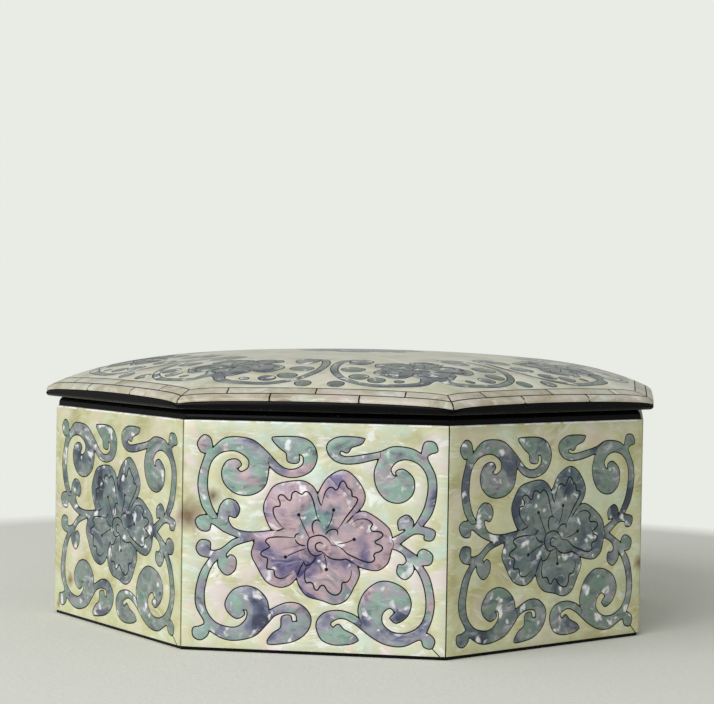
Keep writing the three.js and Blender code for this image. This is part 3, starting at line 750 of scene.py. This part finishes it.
def abalone(name, seed, heart, flower_stops, scroll_stops, coat=0.3):
    """Abalone: chips of different colours, with dark growth bands, pale silver folds that are
    partly painted sheen, and painted glints.
    The flower within reach of the heart is cut from another shell than the scrolls."""
    g = Graph(name)
    at = g.shifted(g.coords, location=(seed * 0.29, seed * 0.17, seed * 0.41))
    flow = g.flowing(at, 90, 0.006)
    patch = g.noise(flow, 140, 3, 0.5).outputs["Fac"]
    chips = g.add("ShaderNodeTexVoronoi", {"Vector": flow, "Scale": 150.0}, feature="F1")
    chip = g.add("ShaderNodeSeparateColor", {"Color": chips.outputs["Color"]}).outputs[0]
    hue = g.math("ADD", patch, g.mapped(chip, 0, 1, -0.09, 0.09))

    def shades(stops):
        return g.ramp(hue, [(0.3 + 0.4 * i / (len(stops) - 1), linear(*stop))
                            for i, stop in enumerate(stops)])

    away = g.add("ShaderNodeVectorMath", {0: g.coords, 1: heart * MM}, operation="DISTANCE")
    near, far = (FLOWER_REACH - 0.5) * MM, (FLOWER_REACH + 0.5) * MM
    outside = g.mapped(away.outputs["Value"], near, far, 0.0, 1.0)
    base = g.mix(outside, shades(flower_stops), shades(scroll_stops))
    folds = g.noise(g.shifted(flow, scale=(1, 1, 2.2)), 330, 4, 0.62, 0.6).outputs["Fac"]
    base = g.mix(g.mapped(folds, 0.3, 0.46, 0.6, 0.0), base, linear(48, 52, 74))
    # pale silver along the folds: the shell's own silvery nacre, with painted sheen on it
    base = g.mix(g.mapped(folds, 0.56, 0.7, 0.0, 0.55), base, linear(216, 214, 224))
    # painted glints: white specks in the abalone's base colour
    glint = g.noise(g.shifted(flow, location=(0.2, 0.3, 0.1)), 420, 2, 0.5).outputs["Fac"]
    base = g.mix(g.mapped(glint, 0.61, 0.69, 0.0, 0.9), base, linear(250, 248, 252))
    normal = g.bump(folds, 0.05, 0.5, under=g.bump(patch, 0.2, 0.6))
    g.set(Base_Color=base, Metallic=0.12, Normal=normal,
          Roughness=g.mapped(chip, 0, 1, 0.24, 0.42), Coat_Weight=coat, Coat_Roughness=0.08,
          Specular_IOR_Level=0.35)
    return g.material


# Strength of the painted glints and painted iridescent sheen in the pale shell's colour; the
# front's are the strongest, as it faces the key light.
FRONT_GLINTS = 0.85
SIDE_GLINTS = 0.35
LID_GLINTS = 0.3
BORDER_GLINTS = 0.4
# Display colours of the pale shell, from hollows to highlights, with the growth lines last.
# The front's are a lighter, whiter copy of the sides': painted light, as the front faces the key
# light.
SIDE_TONES = [(186, 182, 130), (206, 202, 156), (210, 214, 172), (222, 208, 180), (232, 232, 206)]
FRONT_TONES = [(202, 202, 160), (222, 220, 184), (216, 224, 198), (238, 222, 202), (248, 249, 240)]
LID_TONES = [(188, 184, 156), (211, 209, 182), (220, 219, 198), (229, 223, 209), (238, 238, 226)]
BORDER_TONES = [(160, 148, 126), (188, 178, 154), (200, 194, 174), (214, 202, 190), (226, 222, 210)]
# Display colours of the abalone, in the order in which they run into each other. The front's
# pinks and lilacs are painted iridescent sheen, as the front faces the key light; the sides'
# greyer, bluer colours are the same shell without it.
FRONT_FLOWER = [(78, 74, 124), (124, 112, 150), (162, 146, 166), (186, 160, 174), (204, 178, 184),
                (184, 168, 178), (154, 150, 164), (128, 152, 158), (140, 178, 166)]
FRONT_SCROLL = [(70, 76, 98), (114, 120, 148), (158, 156, 170), (150, 166, 166), (152, 186, 170),
                (170, 166, 174), (198, 170, 174)]
SIDE_FLOWER = [(44, 56, 72), (78, 94, 106), (114, 130, 132), (136, 144, 142), (108, 128, 122),
               (86, 100, 114)]
SIDE_SCROLL = [(62, 72, 84), (104, 120, 124), (138, 146, 142), (114, 142, 126), (156, 158, 160),
               (92, 100, 114)]
LID_FLOWER = [(52, 58, 72), (80, 90, 104), (112, 120, 124), (130, 116, 136), (84, 102, 100)]
LID_SCROLL = [(56, 62, 74), (90, 100, 110), (122, 132, 128), (100, 122, 110), (74, 80, 94)]


# --- Body ---
def panel_loops():
    """Outlines shared by the side panels: the arabesque, its window and the panel's border."""
    inlay = smooth(ARABESQUE)
    window = grown(inlay, KERF + 2 * CUT_BEVEL)
    left, low = CORNER_LINE / 2 + PANEL_BEVEL, PANEL_BEVEL
    right, top = SIDE_LENGTH - left, PANEL_HEIGHT - low
    border = np.array([(left, low), (right, low), (right, top), (left, top)])
    return inlay, window, subdivided(border, step=2.0)


def subdivided(loop, step):
    """The closed line with points added along its straight edges."""
    points = []
    for a, b in zip(loop, np.roll(loop, -1, 0)):
        count = max(1, round(float(np.linalg.norm(b - a)) / step))
        points += [a + (b - a) * k / count for k in range(count)]
    return np.array(points)


def circle(centre, radius, count=14):
    """An anticlockwise circle."""
    angles = np.linspace(0, 2 * math.pi, count, endpoint=False)
    return np.array(centre) + radius * np.stack([np.cos(angles), np.sin(angles)], 1)


def engraving(place, scale=1.0):
    """Lacquer-filled lines engraved in a flower, with a dot at the tip of each stamen."""
    dot_proud, dot_depth, dot_bevel = 0.015, 0.08, 0.01

    def lifted(u, v, depth):
        return place(u, v, depth - dot_proud)

    parts = [ribbon_mesh(smooth(line, closed=False), ENGRAVED_WIDTH * scale, place)
             for line in ENGRAVED]
    for line in STAMENS:
        parts.append(ribbon_mesh(smooth(line, closed=False), STAMEN_WIDTH * scale, place))
        parts.append(plate_mesh([circle(line[-1], STAMEN_DOT)], lifted, dot_depth, [dot_bevel]))
    return parts


def sunk_place(place):
    """The same placing with its surface at the level of the lacquer in the saw cuts."""
    return lambda u, v, depth: place(u, v, depth + LACQUER_SINK)


def side_panels():
    """The shell, abalone, lacquer and engraved lines of each side. The front is a lighter copy of
    the others: painted light, as it faces the key light.
    """
    inlay, window, border = panel_loops()
    lacquer_ring = cut_rings(inlay)
    for side in range(SIDES):
        number = side + 1
        place = side_place(side)
        # the front gets lighter tones, stronger painted glints and painted iridescent sheen:
        # painted light, as it faces the key light
        lit_front = side == 0
        shell = pearl(f"pearl_side_{number}", number, FRONT_TONES if lit_front else SIDE_TONES,
                      FRONT_GLINTS if lit_front else SIDE_GLINTS, stains_and_lit_edge=True)
        nacre = abalone(f"abalone_side_{number}", number, place(*FLOWER_CENTRE, 0),
                        FRONT_FLOWER if lit_front else SIDE_FLOWER,
                        FRONT_SCROLL if lit_front else SIDE_SCROLL)
        ground = plate_mesh([border, window[::-1]], place, SHELL, [PANEL_BEVEL, CUT_BEVEL])
        piece(f"shell_panel_{number}", ground, shell, "box",
              [f"side_ground_{number}"])
        piece(f"arabesque_{number}", plate_mesh([inlay], place, SHELL, [CUT_BEVEL]), nacre,
              "box", [f"side_inlay_{number}"])
        filling = plate_mesh(lacquer_ring, sunk_place(place), SHELL - LACQUER_SINK, [0.0, 0.0])
        piece(f"cut_lacquer_{number}", filling, BLACK_LINE, "box")
        lines = engraving(place)
        lines += [ribbon_mesh(smooth(line, closed=False), JOINT_WIDTH, place, taper=False)
                  for line in PIECE_JOINTS]
        entry = smooth(SAW_ENTRY, closed=False)
        lines.append(ribbon_mesh(entry, SAW_ENTRY_WIDTH, place, taper=False))
        piece(f"engraving_{number}", joined(lines), BLACK_LINE, "box")


def cut_rings(inlay):
    """Outer and inner edge of the lacquer round an inlay, a hair inside the saw cut."""
    return [grown(inlay, KERF + CUT_BEVEL - HAIR), grown(inlay, CUT_BEVEL + HAIR)[::-1]]


def boards():
    """The CAD's wooden boards, with lacquer and softened arrises."""
    for name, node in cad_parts.items():
        if not name.startswith(("base_board", "wall_board", "lid_frame_strip")):
            continue
        node.data.materials.clear()
        node.data.materials.append(BLACK)
        bevel = node.modifiers.new("soft arris", "BEVEL")
        bevel.width = WOOD_ARRIS * MM
        bevel.segments = 2
        bevel.limit_method = "ANGLE"
        bevel.angle_limit = math.radians(40)


# --- Lid ---
def node_outline(name):
    """The outline of a CAD node seen from above, without the points that lie on its edges."""
    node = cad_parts[name]
    steepest = 0.5  # how far up a face must look to count as part of the top
    uses = set()
    for face in node.data.polygons:
        if (node.matrix_world.to_3x3() @ face.normal).z < steepest:
            continue
        corners = [node.matrix_world @ node.data.vertices[i].co / MM for i in face.vertices]
        plan = [(round(c.x, 3), round(c.y, 3)) for c in corners]
        uses.update(zip(plan, plan[1:] + plan[:1]))
    after = {a: b for a, b in uses if (b, a) not in uses}
    loop = [min(after)]
    while after[loop[-1]] != loop[0]:
        loop.append(after[loop[-1]])
    points = [np.array(point) for point in loop]
    kept = []
    straight = 0.035  # sine of the turn at a point that is left out
    for i, point in enumerate(points):
        into = point - points[i - 1]
        out = points[(i + 1) % len(points)] - point
        size = np.linalg.norm(into) * np.linalg.norm(out)
        if size > 0 and abs(into[0] * out[1] - into[1] * out[0]) / size > straight:
            kept.append(point)
    return kept


def octagon(apothem, step=1.5):
    """An anticlockwise octagon with points along its sides."""
    corner = apothem / math.cos(TURN / 2)
    angles = [(k + 0.5) * TURN for k in range(SIDES)]
    points = np.array([(corner * math.cos(a), corner * math.sin(a)) for a in angles])
    return subdivided(points, step)


def lid_board_mesh():
    """Domed board with a bare, softly rounded edge. Each ring is an apothem and a height, which
    is None on the dome and negative where it is measured down from the dome."""
    per_side = 14
    rings = [(apothem, None) for apothem in (1, 12, 24, 34, 42, 48, 52, 55)]
    rings.append((LID_APOTHEM - BOARD_ARRIS, None))
    for i in range(1, 4):
        angle = i / 3 * math.pi / 2
        rings.append((LID_APOTHEM - BOARD_ARRIS * (1 - math.sin(angle)),
                      -BOARD_ARRIS * (1 - math.cos(angle))))
    for i in range(5):
        angle = i / 4 * math.pi / 2
        rings.append((LID_APOTHEM - BOARD_ROUND * (1 - math.cos(angle)),
                      RIM_TOP + BOARD_ROUND * (1 - math.sin(angle))))
    verts = []
    for index, (apothem, height) in enumerate(rings):
        for k in range(SIDES):
            for j in range(per_side):
                x = (2 * j / per_side - 1) * apothem * MITRE
                p = Matrix.Rotation(k * TURN, 2) @ Vector((x, -apothem))
                under = dome(p.x, p.y) - SHELL - BOARD_GAP
                if height is None:
                    z = under
                elif height < 0:
                    z = under - EDGE_ROUND_DROP + height
                else:
                    z = height
                verts.append(Vector((p.x, p.y, z)))
    around = SIDES * per_side
    faces = [list(range(around)), list(range((len(rings) - 1) * around, len(rings) * around))[::-1]]
    for i in range(len(rings) - 1):
        for j in range(around):
            a, b = i * around + j, i * around + (j + 1) % around
            faces.append([a, a + around, b + around, b])
    return verts, faces


def border_tiles(side, inner, outer, joints, bevel):
    """One row of tiles along a side of the lid, between two apothems."""
    gap = TILE_LINE / 2 + bevel
    inner, outer = inner + bevel, outer - bevel
    spin = Matrix.Rotation(side * TURN, 2)
    ends = [None] + joints + [None]
    tiles = []
    for left, right in zip(ends, ends[1:]):
        def across(value, apothem, sign):
            return sign * (apothem * MITRE - gap) if value is None else value - sign * gap
        corners = [(across(left, outer, -1), -outer), (across(right, outer, 1), -outer),
                   (across(right, inner, 1), -inner), (across(left, inner, -1), -inner)]
        loop = subdivided(np.array([spin @ Vector(c) for c in corners]), step=0.45)
        tiles.append(plate_mesh([loop], lid_place, SHELL, [bevel], spacing=0.8))
    return joined(tiles)


def border_lacquer():
    """The lacquer that fills the gaps beside both rows of tiles, flush with the shell."""
    def flush(x, y, depth):
        return lid_place(x, y, depth + HAIR)

    half = TILE_LINE / 2
    rows = [LID_APOTHEM - OUTER_ROW, LID_APOTHEM - OUTER_ROW - INNER_ROW]
    lines = [plate_mesh([octagon(r + half), octagon(r - half)[::-1]], flush,
                        BORDER_LINE_DEPTH, [0, 0]) for r in rows]
    inner = [(x, rows[1] + half, rows[0] - half) for x in INNER_JOINTS]
    outer = [(x, rows[0] + half, LID_APOTHEM - EDGE_ROUND / 2) for x in OUTER_JOINTS]
    mitre_end = LID_APOTHEM - 0.3
    for side in range(SIDES):
        spin = np.array(Matrix.Rotation(side * TURN, 2))
        for x, low, high in inner + outer:
            across = np.array([(x, -r) for r in np.linspace(low, high, 5)]) @ spin.T
            lines.append(ribbon_mesh(across, TILE_LINE, lid_place, proud=0.0, taper=False))
        mitre = np.array([(r * MITRE, -r) for r in np.linspace(rows[1], mitre_end, 9)]) @ spin.T
        lines.append(ribbon_mesh(mitre, TILE_LINE, lid_place, proud=0.0, taper=False))
    return joined(lines)


def lid_flower_place(corner):
    """place(u, v, depth) for the engraving of a corner flower on the lid."""
    spin = Matrix.Rotation((corner - 0.5) * TURN, 2)

    def place(u, v, depth):
        x = (u - FLOWER_CENTRE[0]) * LID_FLOWER_SCALE
        y = (v - FLOWER_CENTRE[1]) * LID_FLOWER_SCALE - LID_FLOWER_RADIUS
        p = spin @ Vector((x, y))
        return lid_place(p.x, p.y, depth)

    return place


def lid_outlines():
    """Outlines of the lid's inlays: the eight corner units, the medallion and the bulbs."""
    unit = smooth(node_outline("lid_inlay_1"), step=LID_OUTLINE_STEP)
    rosette = smooth(node_outline("lid_rosette"), step=LID_OUTLINE_STEP)
    spins = [np.array(Matrix.Rotation(k * TURN, 2)) for k in range(SIDES)]
    units = [unit @ spin.T for spin in spins]
    bulbs = [circle((side * x, -y), radius, count=24) @ spin.T
             for spin in spins for x, y, radius in LID_BULBS for side in (-1, 1)]
    return units, rosette, bulbs


def lid_shell(inlays):
    """The pale shell over the dome, sawn out for each inlay."""
    shell = pearl("pearl_lid", 21, LID_TONES, LID_GLINTS, coat=0.5)
    windows = [grown(loop, KERF + 2 * CUT_BEVEL) for loop in inlays]
    edge = LID_APOTHEM - OUTER_ROW - INNER_ROW - TILE_LINE / 2 - CUT_BEVEL
    loops = [octagon(edge)] + [window[::-1] for window in windows]
    bevels = [CUT_BEVEL] * len(loops)
    ground = plate_mesh(loops, lid_place, SHELL, bevels, spacing=DOME_SPACING)
    piece("lid_shell", ground, shell, "lid", ["lid_ground"])


def lid_inlays(units, rosette, bulbs):
    """The abalone on the lid, the lacquer round it and the lines engraved in the flowers."""
    dark = abalone("abalone_lid", 22, Vector((0, 0, DOME_TOP)), LID_FLOWER, LID_SCROLL, coat=0.5)
    drops = [plate_mesh([loop], lid_place, SHELL, [CUT_BEVEL]) for loop in bulbs]
    piece("lid_bulbs", joined(drops), dark, "lid")
    for k, loop in enumerate(units):
        inlay = plate_mesh([loop], lid_place, SHELL, [CUT_BEVEL], spacing=DOME_SPACING)
        piece(f"lid_abalone_{k + 1}", inlay, dark, "lid", [f"lid_inlay_{k + 1}"])
    crown = plate_mesh([rosette], lid_place, SHELL, [CUT_BEVEL], spacing=DOME_SPACING)
    piece("lid_medallion", crown, dark, "lid", ["lid_rosette"])
    rings = [plate_mesh(cut_rings(loop), sunk_place(lid_place), SHELL - LACQUER_SINK, [0, 0])
             for loop in units + [rosette] + bulbs]
    piece("lid_cut_lacquer", joined(rings), BLACK_LINE, "lid")
    line_scale = 0.9
    lines = []
    for k in range(SIDES):
        lines += engraving(lid_flower_place(k), line_scale)
    piece("lid_engraving", joined(lines), BLACK_LINE, "lid")


def lid_border():
    """Two rows of tiles round the lid, and the lacquer between them."""
    tile = pearl("pearl_border", 23, BORDER_TONES, BORDER_GLINTS, coat=0.4)
    piece("border_lacquer", border_lacquer(), BLACK_LINE, "lid")
    row_edge = LID_APOTHEM - OUTER_ROW
    for side in range(SIDES):
        outer = border_tiles(side, row_edge + TILE_LINE / 2, LID_APOTHEM, OUTER_JOINTS,
                             EDGE_TILE_BEVEL)
        inner = border_tiles(side, row_edge - INNER_ROW + TILE_LINE / 2,
                             row_edge - TILE_LINE / 2, INNER_JOINTS, TILE_BEVEL)
        piece(f"border_outer_tiles_{side + 1}", outer, tile, "lid",
              [f"lid_border_outer_{side + 1}"])
        piece(f"border_inner_tiles_{side + 1}", inner, tile, "lid",
              [f"lid_border_inner_{side + 1}"])


def lid():
    """Everything on the lid but its locating frame, which is the CAD's."""
    piece("lid_board_domed", lid_board_mesh(), BLACK, "lid", ["lid_board"])
    units, rosette, bulbs = lid_outlines()
    lid_shell(units + [rosette] + bulbs)
    lid_inlays(units, rosette, bulbs)
    lid_border()


# --- Light and camera ---
def key_light():
    """A large soft light in front of the box, to the left and above."""
    light = bpy.data.lights.new("key", "AREA")
    light.shape = "RECTANGLE"
    light.size, light.size_y = KEY_SIZE
    light.energy = KEY_POWER
    obj = bpy.data.objects.new("key", light)
    obj.location = KEY_PLACE
    aim = Vector(KEY_TARGET) - Vector(KEY_PLACE)
    obj.rotation_euler = aim.to_track_quat("-Z", "Y").to_euler()
    bpy.context.scene.collection.objects.link(obj)


def stage():
    """A round pale floor that fades into a pale wall, a soft key light and a dim soft fill."""
    g = Graph("pale floor")
    fibre = g.noise(g.coords, 900, 5, 0.7).outputs["Fac"]
    g.set(Base_Color=g.mix(fibre, linear(222, 222, 216), linear(238, 238, 232)), Roughness=0.8,
          Specular_IOR_Level=0.1, Normal=g.bump(fibre, 0.12))
    middle = g.add("ShaderNodeVectorMath", {0: g.coords}, operation="LENGTH").outputs["Value"]
    fade = g.mapped(middle, FLOOR_RADIUS - FLOOR_FADE, FLOOR_RADIUS, 0.0, 1.0)
    clear = g.add("ShaderNodeBsdfTransparent").outputs[0]
    blend = g.add("ShaderNodeMixShader", {0: fade, 1: g.shader.outputs[0], 2: clear})
    g.feed(blend.outputs[0], g.tree.nodes["Material Output"].inputs["Surface"])
    bpy.ops.mesh.primitive_circle_add(vertices=160, radius=FLOOR_RADIUS, fill_type="NGON")
    floor = bpy.context.object
    floor.name = "floor"
    floor.data.materials.append(g.material)
    studio_world()
    key_light()
    bpy.context.scene.view_settings.view_transform = "Standard"


def studio_world():
    """A pale wall all round, which lights the box less than it shows."""
    world = bpy.data.worlds.new("studio")
    world.use_nodes = True
    tree = world.node_tree
    wall = tree.nodes["Background"]
    wall.inputs["Color"].default_value = linear(*WALL_COLOUR)
    fill = tree.nodes.new("ShaderNodeBackground")
    fill.inputs["Color"].default_value = linear(*WALL_COLOUR)
    fill.inputs["Strength"].default_value = FILL_STRENGTH
    path = tree.nodes.new("ShaderNodeLightPath")
    mix = tree.nodes.new("ShaderNodeMixShader")
    tree.links.new(path.outputs["Is Camera Ray"], mix.inputs[0])
    tree.links.new(fill.outputs[0], mix.inputs[1])
    tree.links.new(wall.outputs[0], mix.inputs[2])
    tree.links.new(mix.outputs[0], tree.nodes["World Output"].inputs["Surface"])
    bpy.context.scene.world = world


def camera():
    """The photograph's viewpoint: 1.6 degrees above level and 8 degrees right of the front."""
    data = bpy.data.cameras.new("camera")
    data.lens = CAMERA_LENS
    data.sensor_width = 36
    obj = bpy.data.objects.new("camera", data)
    obj.location = CAMERA_PLACE
    obj.rotation_euler = [math.radians(angle) for angle in CAMERA_ANGLES]
    bpy.context.scene.collection.objects.link(obj)
    bpy.context.scene.camera = obj


BLACK = lacquer("black lacquer")
BLACK_LINE = lacquer("lacquer in the cuts", base=(30, 25, 22), roughness=0.3)

boards()
side_panels()
lid()
stage()
camera()
